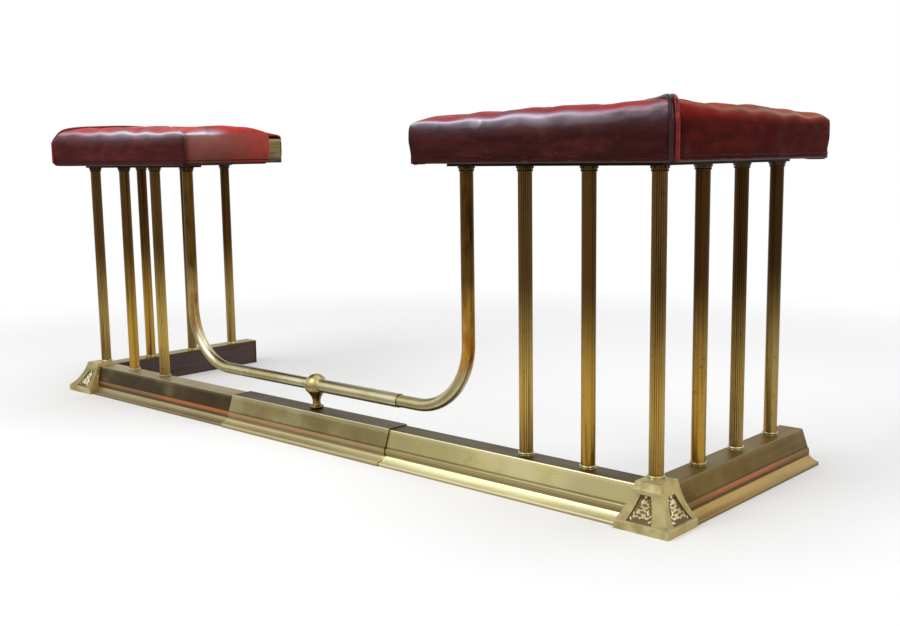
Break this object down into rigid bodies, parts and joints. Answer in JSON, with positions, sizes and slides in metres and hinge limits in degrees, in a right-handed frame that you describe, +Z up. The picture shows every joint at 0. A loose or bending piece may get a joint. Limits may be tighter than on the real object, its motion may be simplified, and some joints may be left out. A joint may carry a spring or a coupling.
{
  "type": "fire fender",
  "caption": "Extending brass club fender: flared kerb and slim posts carry padded, buttoned corner seats, and a low swept rail links the halves.",
  "frame": {"origin": "on the floor, under the middle of the bounding box at rest", "axes": "+X along the hearth to the right as seen from the room, +Y from the room towards the fire, +Z up"},
  "size_m": [1.3772, 0.4186, 0.518],
  "materials": {
    "aged_brass": "polished brass gone dull, with brown toning",
    "toned_brass": "darker, unpolished brass",
    "oxblood_leather": "glazed oxblood hide over stuffing, worn at the edges",
    "dark_timber": "dark stained timber",
    "iron": "plain dark iron"
  },
  "bodies": {
    "centre": {"kerb_sleeve": "aged_brass", "rail_outer_tube": "aged_brass", "rail_ball": "aged_brass", "ball_stem": "aged_brass", "stem_screw": "iron"},
    "left_half": {"left_front_kerb": "aged_brass", "left_front_kerb_core": "dark_timber", "left_return_kerb": "aged_brass", "left_return_kerb_core": "dark_timber", "left_corner_block": "aged_brass", "left_wood_screws": "iron", "left_corner_post": "aged_brass", "left_front_post_plain": "aged_brass", "left_front_post_reeded": "aged_brass", "left_return_post_first": "aged_brass", "left_return_post_middle": "aged_brass", "left_return_post_last": "aged_brass", "left_post_collars": "aged_brass", "left_post_caps": "toned_brass", "left_tie_rods": "iron", "left_tie_nuts": "iron", "left_elbow_tube": "aged_brass", "left_elbow_stud": "iron", "left_front_strap": "iron", "left_return_strap": "iron", "left_front_seat_frame": "dark_timber", "left_return_seat_frame": "dark_timber", "left_fireside_plate": "aged_brass", "left_edge_binding": "oxblood_leather", "left_front_cushion": "oxblood_leather", "left_return_cushion": "oxblood_leather", "left_corner_welt": "oxblood_leather"},
    "right_half": {"right_front_kerb": "aged_brass", "right_front_kerb_core": "dark_timber", "right_return_kerb": "aged_brass", "right_return_kerb_core": "dark_timber", "right_corner_block": "aged_brass", "right_wood_screws": "iron", "right_corner_post": "aged_brass", "right_front_post_plain": "aged_brass", "right_front_post_reeded": "aged_brass", "right_return_post_first": "aged_brass", "right_return_post_middle": "aged_brass", "right_return_post_last": "aged_brass", "right_post_collars": "aged_brass", "right_post_caps": "toned_brass", "right_tie_rods": "iron", "right_tie_nuts": "iron", "right_elbow_tube": "aged_brass", "right_elbow_stud": "iron", "right_front_strap": "iron", "right_return_strap": "iron", "right_front_seat_frame": "dark_timber", "right_return_seat_frame": "dark_timber", "right_fireside_plate": "aged_brass", "right_edge_binding": "oxblood_leather", "right_front_cushion": "oxblood_leather", "right_return_cushion": "oxblood_leather", "right_corner_welt": "oxblood_leather"}
  },
  "joints": [
    {"name": "left_extension", "type": "slide", "parent": "centre", "child": "left_half", "axis": [-1, 0, 0], "range_m": [-0.025, 0.05]},
    {"name": "right_extension", "type": "slide", "parent": "centre", "child": "right_half", "axis": [1, 0, 0], "range_m": [-0.025, 0.05]}
  ]
}
